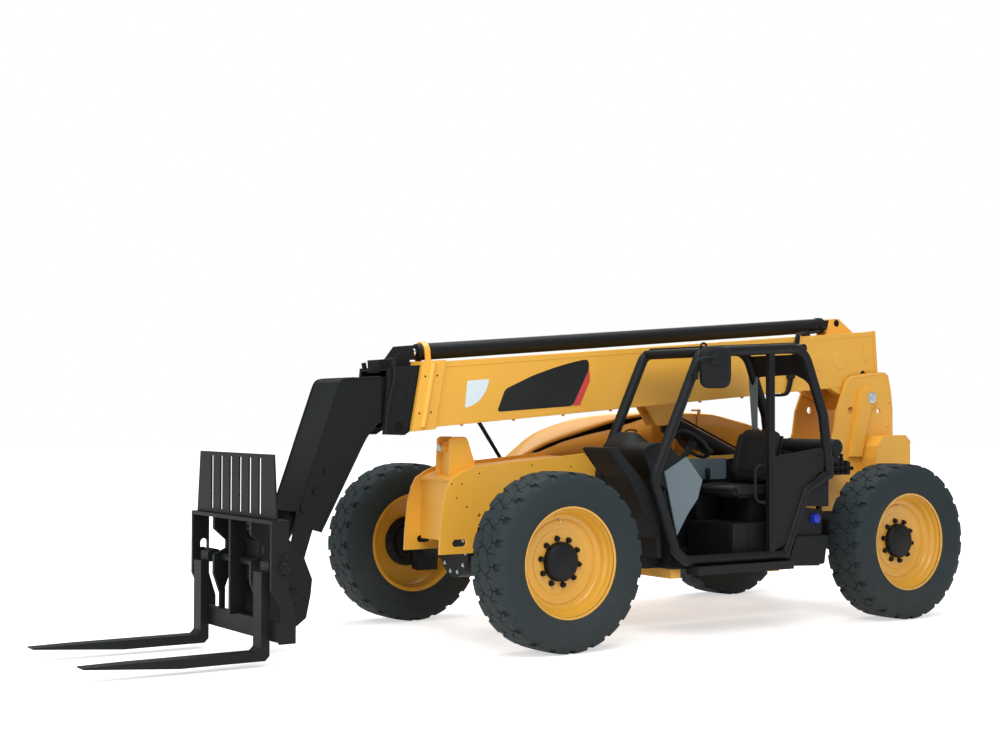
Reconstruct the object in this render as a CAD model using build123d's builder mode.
"""Telescopic-boom rough-terrain fork truck: frame, wheels, cab, engine pod, boom and fork carriage.

Millimetres, +X towards the forks, +Y to the cab side, +Z up.  The origin is on the ground,
on the centreline, under the middle of the machine's overall length.
"""
from build123d import *
import os
from math import cos, hypot, radians, sin, tau

os.makedirs("parts", exist_ok=True)

# ---------------------------------------------------------------- driving sizes
wheelbase = 3300.0
fork_length = 1204.0          # blade with its shank
fork_back_reach = 1907.0      # back of the fork shanks ahead of the front axle
tail_reach = 850.0            # counterweight behind the rear axle
tyre_radius = 609.0
tyre_width = 360.0
track_half = 1013.0           # wheel middle from the centreline
kingpin_inset = 213.0         # wheel middle to its kingpin

frame_half = 250.0            # outside of the frame's side plates
frame_plate = 20.0
frame_top = 1310.0
frame_belly = 500.0
axle_arch_top = 800.0

boom_rest_angle = 4.6         # nose-down, degrees
boom_pivot_back = 520.0       # boom pin behind the rear axle
boom_pivot_z = 1750.0
boom_bottom = 108.0           # underside of the outer section above the pin, in boom axes
boom_depth = 450.0
boom_half = 215.0
boom_wall = 12.0
boom_tail = -160.0            # rear end of the outer section, along the boom
boom_front_reach = 634.0      # front end of the outer section ahead of the front axle, at mid depth
nose_rake = 0.27              # the outer section's front leans back, per height
mid_rake = 0.18               # and the middle section's
section_step = 10.0           # air between one section and the next
mid_wall = 10.0
mid_show = 236.0              # middle section's length that shows when it is in
fly_bottom = 183.0
fly_depth = 298.0
fly_half = 165.0

fork_spread = 475.0
fork_width = 120.0
fork_thick = 60.0
carriage_half = 634.0
fork_low = 40.0               # underside of the blades above the ground
shank_back = 77.0             # back of the fork shanks ahead of the carriage's back
tilt_pin_back = 240.0         # carriage pin behind the carriage's back

cab_inner_y = 400.0
cab_outer_y = 1105.0
cab_tube = 76.0

fit = 0.3                     # air at pins, seats and sliding faces
run_gap = 6.0                 # air between pieces that move past each other

# ---------------------------------------------------------------- places
kingpin_y = track_half - kingpin_inset
front_reach = fork_back_reach + fork_length
front_x = (wheelbase + tail_reach - front_reach) / 2
rear_x = front_x - wheelbase
mid_x = (front_x + rear_x) / 2
axle_z = tyre_radius
tail_x = rear_x - tail_reach
fork_tip_x = front_x + front_reach
fork_face = front_x + fork_back_reach
carriage_back = fork_face - shank_back

pivot_x = rear_x - boom_pivot_back
boom_top = boom_bottom + boom_depth
boom_mid_w = (boom_bottom + boom_top) / 2
boom_nose = boom_pivot_back + wheelbase + boom_front_reach
mid_nose = boom_nose + mid_show
boom_plane = Plane(
    origin=(pivot_x, 0, boom_pivot_z),
    x_dir=(cos(radians(boom_rest_angle)), 0, -sin(radians(boom_rest_angle))),
    z_dir=(0, -1, 0),
)


def save(builder, label):
    """Label a finished sub-part and write it as parts/label.step."""
    builder.part.label = label
    export_step(builder.part, f"parts/{label}.step")


def plate(points, y_low, y_high, plane=Plane.XZ, mode=Mode.ADD):
    """Add a flat piece: an outline in a side-view plane, from y_low to y_high."""
    with BuildSketch(plane.offset(-y_high)) as outline:
        with BuildLine():
            Polyline(*points, close=True)
        make_face()
    extrude(outline.sketch, amount=y_high - y_low, mode=mode)


def block(x, y, z, mode=Mode.ADD):
    """Add a box from its (low, high) pairs along X, Y and Z."""
    with Locations(((x[0] + x[1]) / 2, (y[0] + y[1]) / 2, (z[0] + z[1]) / 2)):
        Box(x[1] - x[0], y[1] - y[0], z[1] - z[0], mode=mode)


def bar(start, end, radius, mode=Mode.ADD):
    """Add a round bar between two points."""
    run = Vector(*end) - Vector(*start)
    with BuildSketch(Plane(origin=start, z_dir=tuple(run))) as end_face:
        Circle(radius)
    extrude(end_face.sketch, amount=run.length, mode=mode)


def cross_bar(centre, radius, y_low, y_high, plane=Plane.XZ, mode=Mode.ADD):
    """Add a round bar across the machine at a (x, z) centre in a side-view plane."""
    with BuildSketch(plane.offset(-y_high)) as end_face:
        with Locations(centre):
            Circle(radius)
    extrude(end_face.sketch, amount=y_high - y_low, mode=mode)


def turned(profile, origin, axis_dir, radial_dir=(0, 0, 1)):
    """Revolve (along, radius) points about an axis through origin."""
    plane = Plane(origin=origin, x_dir=axis_dir, z_dir=Vector(*axis_dir).cross(Vector(*radial_dir)))
    with BuildSketch(plane) as outline:
        with BuildLine():
            Polyline(*profile, close=True)
        make_face()
    revolve(outline.sketch, axis=Axis(origin, axis_dir))


# ---------------------------------------------------------------- wheels and steering
rim_lip_r = 380.0
rim_seat_r = 355.0
rim_half = 150.0              # outer lips from the wheel's middle
rim_lip_w = 12.0
disc_out = 15.0               # disc's outer face from the wheel's middle
disc_thick = 20.0
hub_cap_r = 135.0
hub_cap_out = 82.0
spindle_r = 60.0
hub_in = -60.0                # hub's inner face from the wheel's middle
housing_r = 140.0
yoke_z = 165.0                # yoke arms' inner faces from the axle's height
yoke_arm = 34.0
kingpin_r = 30.0

lug_count = 24
lug_depth = 19.0
lug_share = 0.62              # of the pitch that a lug fills
tread_half = 150.0
sidewall_rings = [(tread_half, tyre_radius - lug_depth - 4), (tyre_width / 2, 525.0)]  # along the axle, radius
bead_rings = [(rim_half - rim_lip_w, rim_lip_r + 8), (tyre_width / 2, 465.0)]
rim_profile = [
    (rim_half, rim_lip_r), (rim_half - rim_lip_w + fit, rim_lip_r),
    (rim_half - rim_lip_w + fit, rim_seat_r),
    (-rim_half + rim_lip_w - fit, rim_seat_r), (-rim_half + rim_lip_w - fit, rim_lip_r),
    (-rim_half, rim_lip_r), (-rim_half, 343), (-40, 338), (disc_out - disc_thick, 292),
    (disc_out - disc_thick, 100), (disc_out, 100), (disc_out, 215), (disc_out + 6, 225),
    (disc_out + 6, 288), (48, 326), (120, 340), (rim_half - 4, 352),
]
hub_profile = [
    (hub_cap_out, 0), (hub_cap_out - 3, 60), (hub_cap_out - 10, 105), (hub_cap_out - 26, 128),
    (hub_cap_out - 40, hub_cap_r), (disc_out + fit, hub_cap_r), (disc_out + fit, 100 - fit),
    (disc_out - disc_thick - fit, 100 - fit), (disc_out - disc_thick - fit, 190),
    (disc_out - disc_thick - 22, 190), (hub_in, 150), (hub_in, spindle_r + fit),
    (hub_in + 100, spindle_r + fit), (hub_in + 100, 0),
]

def side_face(centre, y_off):
    """Return the side-view plane at a wheel's centre, moved along the axle."""
    return Plane(origin=(centre[0], centre[1] + y_off, centre[2]), x_dir=(1, 0, 0), z_dir=(0, -1, 0))


def tread_band(centre, outer_half, phase):
    """Add half of a tread: a toothed outline with its first lug flat on the ground, or half a pitch on."""
    pitch = tau / lug_count
    flat_half = pitch * lug_share / 2
    lowest = flat_half if phase == 0 else pitch / 2 - flat_half
    tip_r = tyre_radius / cos(lowest)
    outline = []
    for i in range(lug_count):
        middle = -tau / 4 + pitch * (i + phase)
        for radius, turn in ((tyre_radius - lug_depth, -flat_half), (tip_r, -flat_half), (tip_r, flat_half),
                             (tyre_radius - lug_depth, flat_half)):
            outline.append((radius * cos(middle + turn), radius * sin(middle + turn)))
    with BuildSketch(side_face(centre, 0)) as teeth:
        with BuildLine():
            Polyline(*outline, close=True)
        make_face()
    extrude(teeth.sketch, amount=-outer_half * tread_half)


def faceted_ring(centre, outer_half, rings):
    """Return a short cone of flat faces between two (along the axle, radius) rings."""
    corners = []
    for along, radius in rings:
        turns = [tau * i / lug_count for i in range(lug_count)]
        corners.append([(centre[0] + radius * cos(turn), centre[1] + outer_half * along,
                         centre[2] + radius * sin(turn)) for turn in turns])
    near, far = corners
    outlines = [near, far]
    for i in range(lug_count):
        outlines.append([near[i - 1], near[i], far[i], far[i - 1]])
    return Solid(Shell([Face(Wire.make_polygon(outline)) for outline in outlines]))


wheels = [  # name, x, side (+1 left, -1 right)
    ("front_left", front_x, 1), ("front_right", front_x, -1),
    ("rear_left", rear_x, 1), ("rear_right", rear_x, -1),
]
for name, wheel_x, side in wheels:
    centre = (wheel_x, side * track_half, axle_z)
    outward = (0, side, 0)
    with BuildPart() as tyre:
        for outer_half in (side, -side):
            tread_band(centre, outer_half, 0.0 if outer_half == side else 0.5)
            for rings, cut in ((sidewall_rings, Mode.ADD), (bead_rings, Mode.SUBTRACT)):
                add(faceted_ring(centre, outer_half, rings), mode=cut)
        with BuildSketch(side_face(centre, -tyre_width)) as bore:
            RegularPolygon(rim_seat_r + fit, lug_count, major_radius=False)
        extrude(bore.sketch, amount=-2 * tyre_width, mode=Mode.SUBTRACT)
    save(tyre, f"{name}_tyre")
    with BuildPart() as rim:
        turned(rim_profile, centre, outward)
    save(rim, f"{name}_rim")
    with BuildPart() as hub:
        turned(hub_profile, centre, outward)
    save(hub, f"{name}_hub")

    king = side * kingpin_y
    housing_y = sorted((side * (kingpin_y + 60), side * (track_half + hub_in - 5)))
    neck_y = sorted((king, side * (kingpin_y + 80)))
    arm_back = -1 if wheel_x == front_x else 1
    with BuildPart() as knuckle:
        with Locations((wheel_x, king, axle_z)):
            Cylinder(66, 2 * (yoke_z - 5))
        block((wheel_x - 88, wheel_x + 88), neck_y, (axle_z - 120, axle_z + 120))
        cross_bar((wheel_x, axle_z), housing_r, *housing_y)
        spindle_y = sorted((side * (kingpin_y + 70), side * (track_half + hub_in + 100 - 2)))
        cross_bar((wheel_x, axle_z), spindle_r, *spindle_y)
        for up in (1, -1):
            z_pair = sorted((axle_z + up * (yoke_z - 6), axle_z + up * (yoke_z + yoke_arm - 4)))
            bar((wheel_x, king, z_pair[0]), (wheel_x, king, z_pair[1]), kingpin_r)
        arm_x = sorted((wheel_x + arm_back * 40, wheel_x + arm_back * 210))
        arm_y = sorted((king, side * (kingpin_y + 50)))
        block(arm_x, arm_y, (axle_z - 60, axle_z - 25))
    save(knuckle, f"{name}_knuckle")

# ---------------------------------------------------------------- axles
for name, axle_x, cylinder_side in (("front_axle", front_x, -1), ("rear_axle", rear_x, 1)):
    with BuildPart() as axle:
        cross_bar((axle_x, axle_z), 92, -(kingpin_y - 105), kingpin_y - 105)
        cross_bar((axle_x, axle_z), 120, -330, 330)
        with Locations((axle_x + 40, 0, axle_z)):
            Cylinder(185, 300, rotation=(0, 90, 0))
        block((axle_x - 130, axle_x + 130), (-frame_half, frame_half), (axle_z + 60, axle_arch_top))
        for side in (1, -1):
            yoke_y = sorted((side * (kingpin_y - 125), side * (kingpin_y - 85)))
            block((axle_x - 85, axle_x + 85), yoke_y,
                  (axle_z - yoke_z - yoke_arm, axle_z + yoke_z + yoke_arm))
            for up in (1, -1):
                arm_z = sorted((axle_z + up * yoke_z, axle_z + up * (yoke_z + yoke_arm)))
                arm_y = sorted((side * (kingpin_y - 90), side * kingpin_y))
                block((axle_x - 62, axle_x + 62), arm_y, arm_z)
                with Locations((axle_x, side * kingpin_y, (arm_z[0] + arm_z[1]) / 2)):
                    Cylinder(62, yoke_arm)
                with Locations((axle_x, side * kingpin_y, (arm_z[0] + arm_z[1]) / 2)):
                    Cylinder(kingpin_r + fit, yoke_arm, mode=Mode.SUBTRACT)
        cylinder_x = axle_x + cylinder_side * 165
        bar((cylinder_x, -300, axle_z - 40), (cylinder_x, 300, axle_z - 40), 42)
        bar((cylinder_x, -470, axle_z - 40), (cylinder_x, 470, axle_z - 40), 18)
        for side in (1, -1):
            hold_y = sorted((side * 200, side * 240))
            block((min(axle_x, cylinder_x), max(axle_x, cylinder_x)), hold_y, (axle_z - 75, axle_z))
    save(axle, name)

# ---------------------------------------------------------------- frame
frame_in = frame_half - frame_plate
tower_top = [  # outline of the boom tower, x from the rear axle and z, front to rear
    (-60, 1330), (-110, 1450), (-140, 1632), (-214, 1793), (-262, 1895), (-335, 1933),
    (-558, 1965), (-718, 1967), (-765, 1942), (-801, 1796), (-819, 1651), (-819, 1434),
]
nose_edge = [  # front of the side plate, x from the front axle and z, bottom to top
    (470, 616), (464, 745), (442, 958), (409, 1077), (373, 1140), (290, 1189), (177, 1231),
]
frame_outline = (
    [(front_x + x, z) for x, z in nose_edge]
    + [(front_x - 795, frame_top), (front_x - 838, 1272), (mid_x - 200, 1272)]
    + [(rear_x + 250, 1300)]
    + [(rear_x + x, z) for x, z in tower_top]
    + [(rear_x - 800, 616), (rear_x - 240, 616), (rear_x - 180, axle_arch_top)]
    + [(rear_x + 180, axle_arch_top), (rear_x + 240, frame_belly), (front_x - 240, frame_belly)]
    + [(front_x - 180, axle_arch_top), (front_x + 150, axle_arch_top), (front_x + 190, 616)]
)
cab_floor_low = 500.0
lift_base = (rear_x + 100, 950.0)
lift_pin_r = 40.0
boom_pin_r = 50.0
tie_slot_x = front_x + 305
beams_x = (mid_x - 430 + fit, mid_x + 540)
beam_wide = 90.0
beam_low = 430.0

with BuildPart() as frame:
    plate(frame_outline, frame_in, frame_half)
    plate(frame_outline, -frame_half, -frame_in)
    deck = [
        (front_x + 350, 1135), (front_x + 290, 1165), (front_x + 177, 1205), (front_x - 790, 1285),
        (front_x - 790, 1270), (front_x + 170, 1190), (front_x + 280, 1150), (front_x + 340, 1120),
    ]
    plate(deck, -frame_in, frame_in)
    nose_plate = [(front_x + 330, 700), (front_x + 345, 700), (front_x + 330, 1120), (front_x + 315, 1120)]
    plate(nose_plate, -frame_in, frame_in)
    block((front_x - 170, front_x + 320), (-frame_in, frame_in), (axle_arch_top, axle_arch_top + 15))
    block((rear_x - 170, rear_x + 170), (-frame_in, frame_in), (axle_arch_top, axle_arch_top + 15))
    block((rear_x + 240, front_x - 240), (-frame_in, frame_in), (frame_belly, frame_belly + 12))
    block((front_x - 800, front_x - 780), (-frame_in, frame_in), (frame_belly + 12, 1000))
    cross_bar(lift_base, lift_pin_r, -frame_in, frame_in)
    for beam_x in beams_x:
        block((beam_x, beam_x + beam_wide), (frame_in, frame_half), (beam_low, frame_belly + 30))
    cross_bar((pivot_x, boom_pivot_z), boom_pin_r, -frame_half - 45, frame_half + 45)
    for side in (1, -1):
        boss_y = sorted((side * frame_half, side * (frame_half + 25)))
        cross_bar((pivot_x, boom_pivot_z), 95, *boss_y)
        rib_y = sorted((side * frame_half, side * (frame_half + 42)))
        rib = [(rear_x - 410, 1815), (rear_x - 540, 1770), (rear_x - 400, 1250), (rear_x - 270, 1250)]
        plate(rib, *rib_y)
        cross_bar((rear_x - 304, 1640), 30, side * frame_half - 40, side * frame_half + 40,
                  mode=Mode.SUBTRACT)
        cross_bar((rear_x - 646, 1634), 22, side * frame_half - 40, side * frame_half + 40,
                  mode=Mode.SUBTRACT)
        with BuildSketch(Plane.XZ.offset(40 - side * frame_half)) as slot:
            with Locations((tie_slot_x, 692)):
                SlotOverall(120, 52)
        extrude(slot.sketch, amount=-80, mode=Mode.SUBTRACT)
        cross_bar((front_x + 137, 882), 12, side * frame_half - 40, side * frame_half + 40,
                  mode=Mode.SUBTRACT)
save(frame, "main_frame")

with BuildPart() as cab_beams:
    for beam_x in beams_x:
        block((beam_x, beam_x + beam_wide), (frame_half + fit, cab_outer_y - 130), (beam_low, cab_floor_low - fit))
save(cab_beams, "cab_beams")

with BuildPart() as rest_bracket:
    for side in (1, -1):
        bracket_y = sorted((side * 70, side * 95))
        plate([(front_x + 60, 1200), (front_x + 296, 1165), (front_x + 284, 1422), (front_x + 268, 1433),
               (front_x + 152, 1433), (front_x + 131, 1400), (front_x + 92, 1290)], *bracket_y)
    plate([(front_x + 250, 1172), (front_x + 266, 1170), (front_x + 257, 1400), (front_x + 241, 1400)],
          -70, 70)
    bar((front_x + 250, 0, 1360), (front_x + 318, 0, 1360), 26)
    plate(deck[:4] + [(front_x - 790, 1000), (front_x + 350, 1000)], -frame_in, frame_in, mode=Mode.SUBTRACT)
save(rest_bracket, "boom_rest_bracket")

with BuildPart() as counterweight:
    tail = [
        (rear_x - 420, 1100), (rear_x - 430, 1240), (rear_x - 450, 1340), (rear_x - 520, 1425),
        (rear_x - 790, 1430), (tail_x, 1380), (tail_x, 720), (tail_x + 60, 640), (rear_x - 560, 640),
        (rear_x - 560, 1100),
    ]
    for side in (1, -1):
        side_y = sorted((side * (frame_half + fit), side * 420))
        plate(tail, *side_y)
    block((tail_x, rear_x - 819 - fit), (-420, 420), (720, 1380))
save(counterweight, "counterweight")

# ---------------------------------------------------------------- engine and its pod
pod_in = -frame_half - 60
pod_out = -1120.0
pod_front = front_x - 770
pod_rear = rear_x + 770
pod_split = 1240.0
hood_skin = 14.0
hood_low = pod_split + fit
shoulder_y = pod_in - 120
hood_lines = [  # outlines at the inner side, the shoulder and the outer side: x from mid-wheelbase, rise
    [(1145, 0), (1082, 38), (823, 148), (647, 200), (309, 287), (78, 346), (-253, 384), (-900, 372),
     (-1450, 255), (-1480, 0)],
    [(1150, 0), (1082, 58), (898, 188), (766, 248), (454, 336), (178, 372), (-253, 394), (-900, 378),
     (-1450, 262), (-1480, 0)],
    [(640, 0), (610, 20), (480, 95), (390, 135), (200, 190), (0, 222), (-300, 245), (-900, 235),
     (-1380, 150), (-1430, 0)],
]
hood_foot = mid_x + 1145
pod_corner = [  # plan cut of the pod's outer front corner, under the hood's edge
    (hood_foot + 5, shoulder_y), (mid_x + 640, pod_out), (mid_x + 640, pod_out - 10),
    (hood_foot + 20, pod_out - 10), (hood_foot + 20, shoulder_y),
]
hinge_y = pod_in + 12
hinge_z = pod_split + 396
hinge_posts = (pod_rear + 400, pod_rear + 120)
hinge_post_w = 30.0
hinge_pin_r = 8.0
hinge_barrel_r = 13.0
with BuildPart() as engine:
    block((mid_x - 650, mid_x + 450), (pod_out + 130, pod_in - 60), (640, pod_split - 40))
save(engine, "engine_block")


def cut_corner(inset):
    """Cut the pod's outer front corner off along the hood's edge, moved in by inset."""
    with BuildSketch(Plane.XY.offset(frame_belly - 10)) as corner:
        with BuildLine():
            Polyline(*[(x - inset, y + inset / 2) for x, y in pod_corner], close=True)
        make_face()
    extrude(corner.sketch, amount=pod_split, mode=Mode.SUBTRACT)


with BuildPart() as pod_room:
    inner = [
        (pod_front - 14, pod_split + 10), (pod_front - 14, 706), (pod_front - 150, frame_belly + 14),
        (pod_rear + 150, frame_belly + 14), (pod_rear + 14, 706), (pod_rear + 14, pod_split + 10),
    ]
    plate(inner, pod_out + 14, pod_in - 14)
    cut_corner(hood_skin)

with BuildPart() as pod:
    pod_outline = [
        (hood_foot, pod_split), (hood_foot, pod_split - 25), (pod_front, pod_split - 90), (pod_front, 700),
        (pod_front - 140, frame_belly), (pod_rear + 140, frame_belly), (pod_rear, 700), (pod_rear, pod_split),
    ]
    plate(pod_outline, pod_out, pod_in)
    cut_corner(0)
    add(pod_room.part, mode=Mode.SUBTRACT)
    block((mid_x - 560, mid_x - 460), (pod_in, -frame_half), (600, 700))
    block((mid_x + 360, mid_x + 460), (pod_in, -frame_half), (600, 700))
    block((mid_x - 600, mid_x + 400), (pod_out + 200, pod_in - 120), (frame_belly + 14, 640))
    for post_x in hinge_posts:
        post_x_pair = (post_x, post_x + hinge_post_w)
        block(post_x_pair, (hinge_y - 4, hinge_y + 4), (1000, hinge_z + 10))
        block(post_x_pair, (pod_in, hinge_y), (1000, 1100))
        bar((post_x, hinge_y, hinge_z), (post_x + hinge_post_w + 64, hinge_y, hinge_z), hinge_pin_r)
save(pod, "engine_pod")


def hood_outline(y, line, inset):
    """Return the hood's cross-cut at y as a face, drawn in by inset at the top and the ends."""
    points = []
    for x, rise in line:
        inward = inset if rise < 60 else 0.0
        points.append((mid_x + x - (inward if x > 0 else -inward), hood_low + max(0.0, rise - inset)))
    with BuildSketch(Plane.XZ.offset(-y)) as outline:
        with BuildLine():
            Polyline(*points, close=True)
        make_face()
    return outline.sketch


def hood_loft(inset):
    """Add a ruled body through the hood's outlines, smaller all round by inset."""
    places = [pod_in - inset, shoulder_y, pod_out + inset]
    faces = [hood_outline(y, line, inset) for y, line in zip(places, hood_lines)]
    for nearer, farther in zip(faces, faces[1:]):
        loft([nearer, farther], ruled=True)


with BuildPart() as hood_room:
    hood_loft(hood_skin)

with BuildPart() as hood:
    hood_loft(0.0)
    add(hood_room.part, mode=Mode.SUBTRACT)
    slot = [(960, 62), (823, 132), (647, 184), (309, 270), (78, 328), (-253, 368), (-253, 352), (-38, 294),
            (172, 241), (423, 196), (647, 146), (888, 66)]
    slot_line = [(mid_x + x, pod_split + rise) for x, rise in slot]
    plate(slot_line, pod_in - hood_skin - 1, pod_in + 1, mode=Mode.SUBTRACT)
    for post_x in hinge_posts:
        barrel_x = (post_x + hinge_post_w + fit, post_x + hinge_post_w + 60)
        block(barrel_x, (pod_in, hinge_y), (hinge_z - 34, hinge_z - 4))
        barrel_ends = [(x, hinge_y, hinge_z) for x in barrel_x]
        bar(*barrel_ends, hinge_barrel_r)
        bar(*barrel_ends, hinge_pin_r + fit, mode=Mode.SUBTRACT)
save(hood, "engine_hood")

# ---------------------------------------------------------------- cab
post_x = mid_x - 253
post_half = 28.0
cab_front_low = (mid_x + 666, 632)
cab_knee = (mid_x + 868, 1150)
cab_top_front = (mid_x + 430, 2050)
cab_top_rear = (mid_x - 590, 2105)
cab_back_mid = (mid_x - 800, 1600)
cab_back_low = (mid_x - 860, 1150)
tube_r = cab_tube / 2
left_y = cab_outer_y - tube_r
right_y = cab_inner_y + tube_r
cab_floor_z = 560.0

cab_back_bend = (mid_x - 612, 1040)
cab_sill_rear = (mid_x - 395, cab_floor_z)
sill_tube_x = (mid_x - 200, mid_x + 400)   # straight tubes let into the foot of each hoop
main_hoop = [  # x, z and bend radius from the front of the sill tube, forward, up and over the roof
    (sill_tube_x[1] + fit, cab_floor_z, 0), (mid_x + 560, cab_floor_z, 110), (*cab_front_low, 110), (*cab_knee, 160),
    (*cab_top_front, 110), (*cab_top_rear, 170), (*cab_back_mid, 160), (*cab_back_low, 0),
]
rear_hoop = [(*cab_back_low, 0), (*cab_back_bend, 90), (*cab_sill_rear, 0)]


def bent_tube(table, y, radius):
    """Add a round tube along an (x, z, bend radius) table in the side plane at y."""
    points = [(x, y, z) for x, z, bend in table]
    with BuildLine() as route:
        FilletPolyline(*points, radius=[bend for x, z, bend in table[1:-1]])
    run = Vector(*points[1]) - Vector(*points[0])
    with BuildSketch(Plane(origin=points[0], z_dir=tuple(run))) as tube_face:
        Circle(radius)
    sweep(tube_face.sketch, path=route.line)


with BuildPart() as cab_frame:
    for y in (left_y, right_y):
        bent_tube(main_hoop, y, tube_r)
        bent_tube(rear_hoop, y, tube_r - 2)
        bar((cab_sill_rear[0], y, cab_floor_z), (sill_tube_x[0] - fit, y, cab_floor_z), tube_r)
        with Locations((cab_back_low[0], y, cab_back_low[1]), (cab_sill_rear[0], y, cab_sill_rear[1])):
            Sphere(tube_r)
    for x, z in (cab_top_front, cab_top_rear, cab_back_low):
        bar((x - 10, right_y, z), (x - 10, left_y, z), tube_r - 6)
    block((post_x - post_half, post_x + post_half), (left_y - 20, left_y + 20), (cab_floor_z, 2075))
save(cab_frame, "cab_frame")

with BuildPart() as sill_tubes:
    for y in (left_y, right_y):
        bar((sill_tube_x[0], y, cab_floor_z), (sill_tube_x[1], y, cab_floor_z), tube_r)
save(sill_tubes, "cab_sill_tubes")

with BuildPart() as cab_roof:
    plate([(mid_x + 400, 2096), (mid_x - 560, 2148), (mid_x - 560, 2136), (mid_x + 400, 2084)],
          right_y + 20, left_y - 20)
save(cab_roof, "cab_roof")

shell_left = cab_outer_y - 90
riser = [  # step in the cab's back wall over the tank, x from mid-wheelbase and z
    (-400, 500), (-400, 600), (-590, 1030), (-780, 1060), (-780, 1290),
    (-795, 1290), (-795, 1045), (-602, 1018), (-414, 597), (-414, 500),
]
with BuildPart() as cab_shell:
    block((mid_x - 414, mid_x + 640), (cab_inner_y - 20, shell_left), (cab_floor_low, cab_floor_low + 20))
    plate([(mid_x + x, z) for x, z in riser], cab_inner_y + cab_tube + fit, shell_left)
    toe_board = [(626, 510), (640, 510), (640, 620), (690, 1070), (676, 1070), (626, 620)]
    plate([(mid_x + x, z) for x, z in toe_board], cab_inner_y + cab_tube + fit, cab_outer_y - 131)
    inner_wall = [(-414, 500), (560, 500), (620, 900), (620, 1150), (-795, 1290), (-795, 1045), (-602, 1018),
                  (-414, 597)]
    plate([(mid_x + x, z) for x, z in inner_wall], cab_inner_y - 20, cab_inner_y - fit)
save(cab_shell, "cab_floor_and_walls")

with BuildPart() as side_panel:
    panel_front = post_x - post_half - 1
    plate([(panel_front, 1293), (mid_x - 780, 1354), (mid_x - 800, 1210), (mid_x - 640, 1100),
           (mid_x - 560, 1040), (mid_x - 390, 640), (panel_front, 600)], left_y - 12, left_y + 12)
save(side_panel, "cab_side_panel")

with BuildPart() as tank:
    plate([(mid_x - 430, 470), (mid_x - 800, 455), (mid_x - 830, 880), (mid_x - 660, 900), (mid_x - 640, 960),
           (mid_x - 450, 600)], cab_inner_y + 60, left_y - tube_r - 2)
save(tank, "fuel_tank")

with BuildPart() as sill:
    block((mid_x - 410, mid_x + 520), (shell_left + fit, cab_outer_y + 45), (462, cab_floor_z - tube_r - fit))
save(sill, "running_board")

fender_in = 720.0
with BuildPart() as fender:
    outline = [
        (1216, 1370), (1216, 1356), (1136, 1250), (1047, 1163), (1000, 1080), (905, 900), (800, 730),
        (790, 590), (750, 590), (770, 900), (867, 1079), (984, 1209), (1118, 1340), (1118, 1370),
    ]
    plate([(mid_x + x, z) for x, z in outline], fender_in, cab_outer_y - 90)
    block((mid_x + 640 + fit, mid_x + 775), (760, 860), (500, 610))
save(fender, "front_fender")

seat_y = 750.0
steer_centre = (mid_x + 224, seat_y, 1384)
steer_tilt = 45.0
steer_radius = 150.0
column_r = 28.0
column_run = 400.0
column_end = (
    steer_centre[0] + column_run * sin(radians(steer_tilt)), seat_y,
    steer_centre[2] - column_run * cos(radians(steer_tilt)),
)
with BuildPart() as dash:
    cowl = [(560, 1000), (790, 1150), (880, 1330), (845, 1384), (752, 1402), (664, 1392), (560, 1330),
            (470, 1250), (430, 1180)]
    plate([(mid_x + x, z) for x, z in cowl], cab_inner_y + 80, cab_outer_y - 130 - fit)
    hump = [(870, 1330), (846, 1390), (740, 1470), (690, 1474), (600, 1410), (560, 1330)]
    plate([(mid_x + x, z) for x, z in hump], cab_inner_y + 80, 720)
    block((mid_x + 480, mid_x + 610), (cab_inner_y + 80, 640), (520 + fit, 1100))
    bar(steer_centre, column_end, column_r + fit, mode=Mode.SUBTRACT)
save(dash, "dashboard")

with BuildPart() as kick:
    plate([(mid_x + 697, 1196), (mid_x + 490, 1298), (mid_x + 342, 1128), (mid_x + 387, 995),
           (mid_x + 476, 893), (mid_x + 581, 738)], cab_outer_y - 130, cab_outer_y - 118)
save(kick, "kick_panel")

with BuildPart() as seat:
    seat_line = [(0, 975), (-370, 975), (-400, 1050), (-515, 1470), (-470, 1500), (-396, 1490), (-330, 1335),
                 (-325, 1235), (-310, 1085), (-30, 1075), (0, 1040)]
    plate([(mid_x + x, z) for x, z in seat_line], seat_y - 225, seat_y + 225)
save(seat, "seat")

with BuildPart() as seat_base:
    block((mid_x - 395, mid_x + 50), (cab_inner_y + 85, cab_outer_y - 120), (520 + fit, 800))
    block((mid_x - 360, mid_x - 200), (seat_y - 150, seat_y + 150), (800, 975 - fit))
save(seat_base, "seat_base")

with BuildPart() as steering:
    normal = (-sin(radians(steer_tilt)), 0, cos(radians(steer_tilt)))
    with Locations(Plane(origin=steer_centre, z_dir=normal)):
        Torus(steer_radius - 14, 14)
        Cylinder(35, 40)
        Box(2 * steer_radius - 20, 30, 12)
    bar(steer_centre, tuple(Vector(*steer_centre) - Vector(*normal) * (column_run - fit)), column_r)
save(steering, "steering_wheel")

with BuildPart() as mirror:
    with Locations(Location((mid_x + 360, cab_outer_y + 45, 1940), (0, 0, -16))):
        Box(220, 25, 280)
    bar((mid_x + 440, cab_outer_y + 24, 1840), (mid_x + 530, cab_outer_y + 24, 1870), 9)
    block((mid_x + 505, mid_x + 545), (cab_outer_y - 30, cab_outer_y + 34), (1850, 1900))
    bar((mid_x + 551.7, left_y, 1800), (mid_x + 478.7, left_y, 1950), tube_r + fit, mode=Mode.SUBTRACT)
save(mirror, "mirror")

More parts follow.
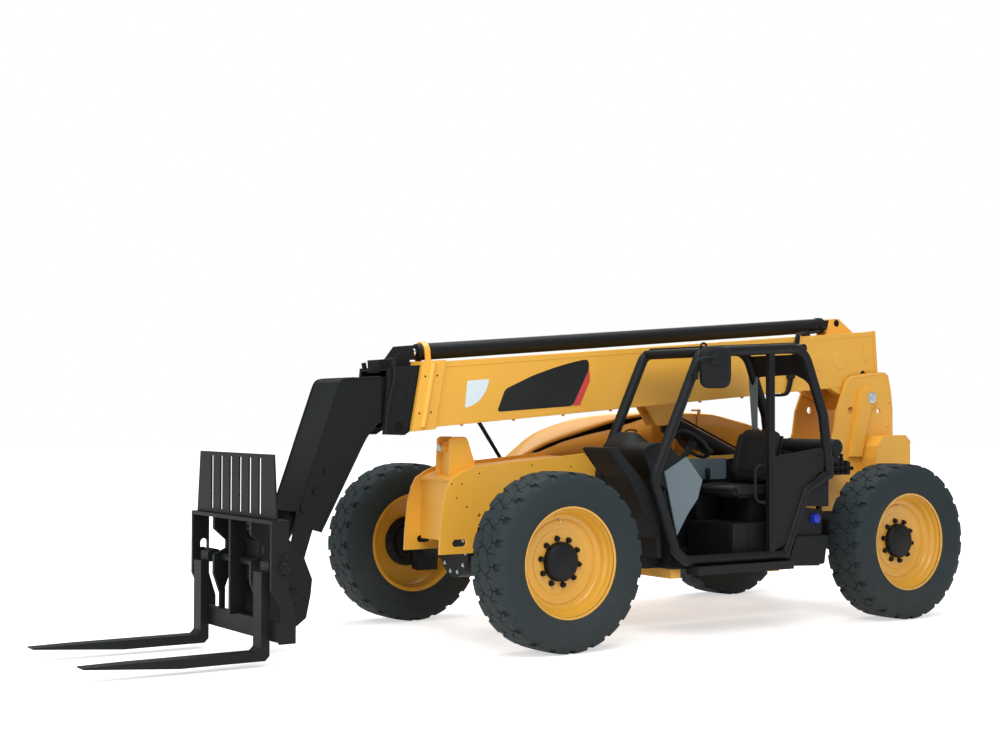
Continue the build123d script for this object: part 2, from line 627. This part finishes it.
right_mirror_y = -frame_half - 90
with BuildPart() as right_mirror:
    foot = (front_x - 215, -frame_half - fit)
    block((foot[0] - 45, foot[0] + 45), (right_mirror_y - 12, foot[1]), (1180, 1215))
    bar((foot[0], right_mirror_y, 1200), (front_x - 10, right_mirror_y, 1560), 16)
    bar((front_x - 10, right_mirror_y, 1560), (front_x - 10, right_mirror_y - 60, 1820), 14)
    block((front_x - 30, front_x + 4), (right_mirror_y - 190, right_mirror_y + 20), (1680, 1960))
save(right_mirror, "right_mirror")

# ---------------------------------------------------------------- boom
def oblong(u, w):
    """Corners of a rectangle between (low, high) pairs along and across the boom."""
    return [(u[0], w[0]), (u[1], w[0]), (u[1], w[1]), (u[0], w[1])]


def raked(u, w, back, front):
    """Corners of a rectangle whose ends lean back per height; u holds at the boom's mid depth."""
    low, high = (height - boom_mid_w for height in w)
    return [(u[0] - back * low, w[0]), (u[1] - front * low, w[0]), (u[1] - front * high, w[1]),
            (u[0] - back * high, w[1])]


def box_tube(u, half, w, wall, rake=0.0):
    """Add a rectangular tube in boom axes, open at both ends, its front end raked."""
    plate(raked(u, w, 0, rake), -half, half, plane=boom_plane)
    inside = oblong((u[0] - 1, u[1] + 200), (w[0] + wall, w[1] - wall))
    plate(inside, -half + wall, half - wall, plane=boom_plane, mode=Mode.SUBTRACT)


mid_half = boom_half - boom_wall - section_step
mid_low = boom_bottom + boom_wall + section_step
mid_high = boom_top - boom_wall - section_step
fly_high = fly_bottom + fly_depth
lift_eye = (2127.0, -4.0)     # lift rod's pin, in boom axes
tube_r_out = 60.0
tube_w = boom_top + 20 + tube_r_out
collar_back = boom_nose - 192
rib_u = boom_nose - 90
hoop_u = boom_nose - 229
guard_half = 80.0
guard_back = boom_nose - 89   # rear face of the middle section's guard, over the collar
hoop_thick = 12.0


def boom_cross(u):
    """Return the plane across the boom at u, centred on the extension cylinder, x to the cab side."""
    centre = boom_plane.from_local_coords((u, tube_w, 0))
    return Plane(origin=centre, x_dir=(0, 1, 0), z_dir=boom_plane.x_dir)


with BuildPart() as outer_boom:
    box_tube((boom_tail, boom_nose), boom_half, (boom_bottom, boom_top), boom_wall, nose_rake)
    collar = raked((collar_back, boom_nose), (boom_bottom - 16, boom_top + 14), nose_rake, nose_rake)
    for side in (1, -1):
        plate(collar, *sorted((side * boom_half, side * (boom_half + 22))), plane=boom_plane)
    for w in ((boom_bottom - 16, boom_bottom), (boom_top, boom_top + 14)):
        band = raked((collar_back, boom_nose), w, nose_rake, nose_rake)
        plate(band, -boom_half, boom_half, plane=boom_plane)
    for side in (1, -1):
        ear = sorted((side * 150, side * boom_half))
        ear_line = [(boom_tail, boom_bottom), (boom_tail, 30), (-90, -70), (0, -110), (90, -70),
                    (420, boom_bottom)]
        plate(ear_line, *ear, plane=boom_plane)
        lug = sorted((side * 45, side * 70))
        plate([(lift_eye[0] - 160, boom_bottom), (lift_eye[0] - 60, -62), (lift_eye[0] + 60, -62),
               (lift_eye[0] + 160, boom_bottom)], *lug, plane=boom_plane)
        tube_ear = sorted((side * 45, side * 62))
        plate([(-60, boom_top), (110, tube_w + 48), (200, tube_w + 48), (262, boom_top)], *tube_ear,
              plane=boom_plane)
        foot, head = boom_bottom + 6, boom_top - 4
        rib_y = -side * (boom_half + 22)
        rib = boom_plane.from_local_coords((rib_u - nose_rake * (foot - boom_mid_w), foot, rib_y))
        rib_end = boom_plane.from_local_coords((rib_u - nose_rake * (head - boom_mid_w), head, rib_y))
        bar(tuple(rib), tuple(rib_end), 20)
        flange = sorted((side * (boom_half - boom_wall), side * (frame_in - 5)))
        plate(oblong((boom_tail, boom_tail + 28), (boom_bottom - 6, boom_top + 6)), *flange, plane=boom_plane)
    with BuildSketch(boom_cross(hoop_u)) as hoop:
        Circle(tube_r_out + fit + hoop_thick)
        with Locations((0, -(tube_w - boom_top) / 2)):
            Rectangle(2 * (tube_r_out + fit + hoop_thick), tube_w - boom_top)
        Circle(tube_r_out + fit, mode=Mode.SUBTRACT)
        with Locations((0, -tube_r_out)):
            Rectangle(2 * (tube_r_out + fit), 2 * tube_r_out, mode=Mode.SUBTRACT)
    extrude(hoop.sketch, amount=45)
    cross_bar((0, 0), 105, -frame_in + fit, frame_in - fit, plane=boom_plane)
    cross_bar((0, 0), boom_pin_r + fit, -frame_in, frame_in, plane=boom_plane, mode=Mode.SUBTRACT)
save(outer_boom, "outer_boom")

with BuildPart() as mid_boom:
    box_tube((60, mid_nose), mid_half, (mid_low, mid_high), mid_wall, mid_rake)
    for side in (1, -1):
        cheek = sorted((side * mid_half, side * (mid_half + 14)))
        cheek_line = raked((boom_nose + run_gap, mid_nose), (mid_low - 12, mid_high + 12), nose_rake, mid_rake)
        plate(cheek_line, *cheek, plane=boom_plane)
        rear_pad = sorted((side * mid_half, side * (mid_half + section_step - fit)))
        plate(oblong((80, 260), (mid_low + 30, mid_high - 30)), *rear_pad, plane=boom_plane)
    guard_foot = boom_nose - nose_rake * (mid_high - boom_mid_w) + run_gap
    guard = [
        (guard_foot, mid_high), (guard_foot, boom_top + 28), (guard_back, boom_top + 28), (guard_back, 690),
        (guard_back + 75, 688), (guard_back + 155, 604), (mid_nose - 34, 604), (mid_nose - 34, 514),
        (mid_nose - 60, 514), (mid_nose - 60, mid_high),
    ]
    plate(guard, -guard_half, guard_half, plane=boom_plane)
    for w in ((mid_low - section_step + fit, mid_low), (mid_high, mid_high + section_step - fit)):
        plate(oblong((80, 260), w), -120, 120, plane=boom_plane)
save(mid_boom, "mid_boom")

with BuildPart() as ext_barrel:
    with BuildSketch(boom_cross(270)) as ring:
        Circle(tube_r_out)
    extrude(ring.sketch, amount=boom_nose - 150 - 270)
    with BuildSketch(boom_cross(330)) as bore:
        Circle(42)
    extrude(bore.sketch, amount=boom_nose, mode=Mode.SUBTRACT)
    plate(oblong((159, 320), (tube_w - 40, tube_w + 40)), -45 + fit, 45 - fit, plane=boom_plane)
save(ext_barrel, "extension_cylinder")

with BuildPart() as ext_rod:
    with BuildSketch(boom_cross(700)) as rod_face:
        Circle(32)
    extrude(rod_face.sketch, amount=guard_back - 700 - fit)
save(ext_rod, "extension_rod")

# fly section and its bent nose, side-view points in machine axes measured from the carriage pin
tilt_pin = (carriage_back - tilt_pin_back, 400.0)
nose_half = 185.0
nose_skin = 15.0
nose_front = [
    (front_x + 1196, 1840), (front_x + 1232, 1818), (tilt_pin[0] - 80, 1044), (tilt_pin[0] - 50, 950),
]
nose_back = [
    (tilt_pin[0] - 60, 330), (tilt_pin[0] - 95, 420), (tilt_pin[0] - 104, 646), (tilt_pin[0] - 162, 824),
    (tilt_pin[0] - 219, 808), (front_x + 1024, 1453), (front_x + 950, 1530), (front_x + 905, 1556),
]
tilt_base = (front_x + 1090, 1560.0)

with BuildPart() as fly_boom:
    box_tube((250, mid_nose + 60), fly_half, (fly_bottom, fly_high), mid_wall)
    for side in (1, -1):
        pad = sorted((side * fly_half, side * (mid_half - mid_wall - fit)))
        plate(oblong((300, 480), (fly_bottom + 30, fly_high - 30)), *pad, plane=boom_plane)
    plate(oblong((300, 480), (mid_low + mid_wall + fit, fly_bottom)), -110, 110, plane=boom_plane)
    plate(oblong((300, 480), (fly_high, mid_high - mid_wall - fit)), -110, 110, plane=boom_plane)
    side_shape = [(front_x + 905, 1858)] + nose_front
    side_shape += [(tilt_pin[0] + 70, 400), (tilt_pin[0] + 50, 330)] + nose_back
    for side in (1, -1):
        plate(side_shape, *sorted((side * (nose_half - nose_skin), side * nose_half)))
    front_band = [(x, z) for x, z in nose_front]
    front_band += [(x - 14, z - 8) for x, z in reversed(nose_front)]
    plate(front_band, -nose_half + nose_skin, nose_half - nose_skin)
    roof_band = [(front_x + 905, 1858), nose_front[0], (nose_front[0][0], 1825), (front_x + 905, 1840)]
    plate(roof_band, -nose_half + nose_skin, nose_half - nose_skin)
    back_band = nose_back[-3:] + [(front_x + 905, 1572), (front_x + 958, 1545), (front_x + 1036, 1460),
                                  (tilt_pin[0] - 237, 892), (tilt_pin[0] - 250, 885)]
    plate(back_band, -nose_half + nose_skin, nose_half - nose_skin)
    cross_bar(tilt_pin, 70, -nose_half, nose_half)
    cross_bar(tilt_pin, 30 + fit, -nose_half, nose_half, mode=Mode.SUBTRACT)
    cross_bar(tilt_base, 28, -nose_half + nose_skin, nose_half - nose_skin)
save(fly_boom, "fly_boom")

# ---------------------------------------------------------------- cylinders between pins
def between(start, end, along):
    """Return the point a given way along the line from start to end."""
    length = hypot(end[0] - start[0], end[1] - start[1])
    return (start[0] + (end[0] - start[0]) * along / length, start[1] + (end[1] - start[1]) * along / length)


def cylinder_pair(base, eye, base_r, pin_r, barrel_r, rod_r, eye_r, half, eye_half, spare, names):
    """Make a barrel hung on its base pin and the rod that ends in an eye; spare is the rod's way in."""
    length = hypot(eye[0] - base[0], eye[1] - base[1])
    head = length - eye_r * 2.4
    foot_z = between(base, eye, base_r * 0.5)
    with BuildPart() as barrel:
        cross_bar(base, base_r, -half, half)
        head_z = between(base, eye, head)
        bar((foot_z[0], 0, foot_z[1]), (head_z[0], 0, head_z[1]), barrel_r)
        cross_bar(base, pin_r + fit, -half - 5, half + 5, mode=Mode.SUBTRACT)
        bore_z = between(base, eye, base_r + 60)
        past_z = between(base, eye, head + 10)
        bar((bore_z[0], 0, bore_z[1]), (past_z[0], 0, past_z[1]), rod_r + fit, mode=Mode.SUBTRACT)
    save(barrel, names[0])
    with BuildPart() as rod:
        cross_bar(eye, eye_r, -eye_half, eye_half)
        tail = between(base, eye, base_r + 60 + spare)
        tip = between(base, eye, length - eye_r * 0.5)
        bar((tail[0], 0, tail[1]), (tip[0], 0, tip[1]), rod_r)
    save(rod, names[1])


lift_tip = boom_plane.from_local_coords((lift_eye[0], lift_eye[1], 0))
cylinder_pair(lift_base, (lift_tip.X, lift_tip.Z), 80, lift_pin_r, 78, 40, 54, 110, 45 - fit, 10,
              ("lift_cylinder", "lift_rod"))
tilt_eye = (tilt_pin[0] + 55, 620.0)
cylinder_pair(tilt_base, tilt_eye, 48, 28, 45, 26, 42, 60, 45 - fit, 70, ("tilt_cylinder", "tilt_rod"))

# ---------------------------------------------------------------- coupler, carriage, forks
coupler_in = nose_half + fit
coupler_out = nose_half + 25
carriage_front = carriage_back + 115
fork_bar = (carriage_back + 32, 632.0)
fork_bar_r = 25.0
hook_pin = (carriage_back - 75, 838.0)
hook_pin_r = 30.0

with BuildPart() as coupler:
    shape = [(tilt_pin[0] - 90, 640), (tilt_pin[0] - 148, 500), (tilt_pin[0] - 138, 400),
             (tilt_pin[0] - 105, 245), (tilt_pin[0] - 35, 195), (carriage_back - fit, 195),
             (carriage_back - fit, 880), (carriage_back - 120, 880)]
    for side in (1, -1):
        plate(shape, *sorted((side * coupler_in, side * coupler_out)))
        eye_lug = [(tilt_eye[0] - 55, 575), (tilt_eye[0] + 10, 540), (carriage_back - fit, 540),
                   (carriage_back - fit, 720), (tilt_eye[0] - 30, 670)]
        plate(eye_lug, *sorted((side * 45, side * 65)))
    block((carriage_back - 40, carriage_back - fit), (-coupler_in, coupler_in), (500, 760))
    block((carriage_back - 60, carriage_back - fit), (-coupler_in, coupler_in), (195, 280))
    cross_bar(hook_pin, hook_pin_r, -315, 315)
    cross_bar(tilt_pin, 30, -coupler_out - 12, coupler_out + 12)
save(coupler, "coupler")

hook_line = [  # hook plate, x from the carriage's back and z
    (-125, 880), (-60, 910), (102, 910), (102, 825), (12, 745), (12, 690), (102, 650), (102, 520), (55, 390),
    (55, 270), (20, 270), (20, 430), (-20, 540), (-20, 760), (-125, 780),
]
carriage_low = 150.0
carriage_high = 930.0
with BuildPart() as carriage:
    side_shape = [(carriage_front, carriage_high), (carriage_front, 502), (carriage_front - 60, 374),
                  (carriage_front - 60, carriage_low), (carriage_back - 57, carriage_low),
                  (carriage_back - 57, 338), (carriage_back - 6, 499), (carriage_back - 6, carriage_high)]
    for side in (1, -1):
        plate(side_shape, *sorted((side * carriage_half, side * (carriage_half - 25))))
        hook = [(carriage_back + x, z) for x, z in hook_line]
        hook_y = sorted((side * 275, side * 305))
        plate(hook, *hook_y)
        cross_bar(fork_bar, fork_bar_r + fit, *hook_y, mode=Mode.SUBTRACT)
        cross_bar(hook_pin, hook_pin_r + fit, *hook_y, mode=Mode.SUBTRACT)
    carriage_x = (carriage_back, carriage_front)
    block(carriage_x, (-carriage_half, carriage_half), (carriage_high - 25, carriage_high))
    block((fork_face - 45, fork_face - fit), (-carriage_half, carriage_half), (165, 290))
    block(carriage_x, (-14, 14), (280, carriage_high))
    cross_bar(fork_bar, fork_bar_r + fit, -20, 20, mode=Mode.SUBTRACT)
    for side in (1, -1):
        with BuildSketch(Plane.XZ.offset(-side * carriage_half + 40)) as slot:
            with Locations((fork_bar[0], 660)):
                SlotOverall(150, 2 * fork_bar_r + 4, rotation=90)
        extrude(slot.sketch, amount=-80, mode=Mode.SUBTRACT)
save(carriage, "fork_carriage")

with BuildPart() as backrest:
    panel = Plane.YZ.offset(carriage_back + 66)
    with BuildSketch(panel) as sheet:
        with BuildLine():
            Polyline((-622, carriage_high + fit), (622, carriage_high + fit), (577, 1344), (-577, 1344),
                     close=True)
        make_face()
        with Locations([(y, 1137) for y in (-375, -225, -75, 75, 225, 375)]):
            Rectangle(36, 360, mode=Mode.SUBTRACT)
    extrude(sheet.sketch, amount=12)
save(backrest, "load_backrest")

with BuildPart() as forks:
    for side in (1, -1):
        y_pair = sorted((side * fork_spread - fork_width / 2, side * fork_spread + fork_width / 2))
        blade_top = fork_low + fork_thick
        fork_line = [
            (fork_face, 600), (fork_face, fork_low + 30), (fork_face + 30, fork_low),
            (fork_tip_x - 600, fork_low), (fork_tip_x, blade_top - 14), (fork_tip_x, blade_top - 4), (fork_tip_x - 300, blade_top),
            (fork_face + fork_thick + 26, blade_top), (fork_face + fork_thick, blade_top + 26),
            (fork_face + fork_thick, 600),
        ]
        plate(fork_line, *y_pair)
        cross_bar(fork_bar, 45, *y_pair)
        block((fork_bar[0], fork_face + 10), y_pair, (590, 660))
    cross_bar(fork_bar, fork_bar_r, -carriage_half - 18, carriage_half + 18)
save(forks, "forks")
